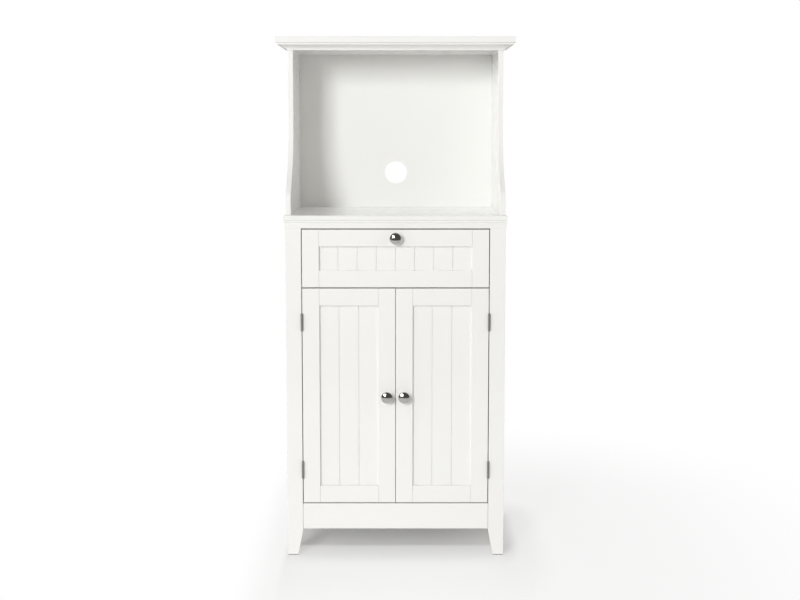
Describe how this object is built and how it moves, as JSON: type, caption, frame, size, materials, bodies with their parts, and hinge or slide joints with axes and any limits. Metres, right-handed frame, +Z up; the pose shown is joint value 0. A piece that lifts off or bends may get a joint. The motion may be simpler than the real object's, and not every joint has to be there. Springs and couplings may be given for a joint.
{
  "type": "microwave stand with drawer",
  "caption": "Tall kitchen stand: an open hutch for a microwave on a worktop, a drawer on roller runners below it, and a cupboard behind inset beadboard doors on tapered legs.",
  "frame": {"origin": "on the floor, in the middle of the overall width and of the overall depth from the knobs' tips to the back", "axes": "+Z up, front with the doors and drawer towards -Y, +X to the right seen from the front"},
  "size_m": [0.656, 0.422, 1.415],
  "materials": {
    "painted_wood": "satin white paint",
    "painted_board": "smooth white lacquer",
    "painted_back": "smooth white lacquer on hardboard",
    "satin_nickel": "satin nickel",
    "hinge_steel": "aged nickel plate",
    "screw_steel": "zinc plate",
    "zinc_steel": "bright zinc plate",
    "cam_zinc": "die-cast zinc",
    "enamelled_steel": "white epoxy enamel",
    "nylon": "moulded nylon",
    "catch_plastic": "moulded plastic",
    "glide_plastic": "moulded plastic"
  },
  "bodies": {
    "cabinet": {"adjustable_shelf": "painted_board", "cabinet_back": "painted_back", "cabinet_floor": "painted_board", "cam_fittings": "cam_zinc", "crown_board": "painted_wood", "crown_moulding_front": "painted_wood", "crown_moulding_sides": "painted_wood", "divider_rail": "painted_board", "foot_glides": "glide_plastic", "front_apron": "painted_wood", "front_post_left": "painted_wood", "front_post_right": "painted_wood", "front_top_rail": "painted_wood", "hinge_frame_leaves": "hinge_steel", "hinge_frame_screws": "screw_steel", "hinge_pins": "hinge_steel", "hutch_back": "painted_back", "hutch_screws": "screw_steel", "hutch_side_left": "painted_wood", "hutch_side_right": "painted_wood", "hutch_top_panel": "painted_wood", "magnetic_catch": "catch_plastic", "rear_posts": "painted_wood", "rear_rails": "painted_board", "runner_battens": "painted_board", "runner_channel_screws": "screw_steel", "runner_channels": "enamelled_steel", "shelf_pins": "zinc_steel", "side_panels": "painted_wood", "worktop_board": "painted_wood", "worktop_moulding_front": "painted_wood", "worktop_moulding_sides": "painted_wood"},
    "drawer": {"drawer_bottom": "painted_back", "drawer_box_back": "painted_board", "drawer_box_front": "painted_board", "drawer_knob": "satin_nickel", "drawer_panel": "painted_wood", "drawer_rails": "painted_wood", "drawer_runner_members": "enamelled_steel", "drawer_runner_screws": "screw_steel", "drawer_sides": "painted_board", "drawer_stiles": "painted_wood"},
    "door_left": {"door_left_hinge_leaves": "hinge_steel", "door_left_hinge_screws": "screw_steel", "door_left_hinge_stile": "painted_wood", "door_left_knob": "satin_nickel", "door_left_latch_stile": "painted_wood", "door_left_panel": "painted_wood", "door_left_rails": "painted_wood", "door_left_strike_plate": "zinc_steel"},
    "door_right": {"door_right_hinge_leaves": "hinge_steel", "door_right_hinge_screws": "screw_steel", "door_right_hinge_stile": "painted_wood", "door_right_knob": "satin_nickel", "door_right_latch_stile": "painted_wood", "door_right_panel": "painted_wood", "door_right_rails": "painted_wood", "door_right_strike_plate": "zinc_steel"},
    "front_rollers": {"front_rollers": "nylon"},
    "rear_rollers": {"rear_rollers": "nylon"}
  },
  "joints": [
    {"name": "drawer_slide", "type": "slide", "parent": "cabinet", "child": "drawer", "axis": [0, -1, 0], "range_m": [0, 0.28]},
    {"name": "door_left_hinge", "type": "hinge", "parent": "cabinet", "child": "door_left", "pos_m": [-0.2524, -0.1874, 0.44335], "axis": [0, 0, -1], "range_deg": [0, 180]},
    {"name": "door_right_hinge", "type": "hinge", "parent": "cabinet", "child": "door_right", "pos_m": [0.2524, -0.1874, 0.44335], "axis": [0, 0, 1], "range_deg": [0, 180]},
    {"name": "front_roller_spin", "type": "hinge", "parent": "cabinet", "child": "front_rollers", "pos_m": [0, -0.153, 0.7644], "axis": [1, 0, 0], "continuous": true},
    {"name": "rear_roller_spin", "type": "hinge", "parent": "drawer", "child": "rear_rollers", "pos_m": [0, 0.1473, 0.7638], "axis": [1, 0, 0], "continuous": true}
  ],
  "couplings": [
    {"joint": "front_roller_spin", "follows": "drawer_slide", "rad_per_m": 117.65},
    {"joint": "rear_roller_spin", "follows": "drawer_slide", "rad_per_m": 117.65}
  ]
}
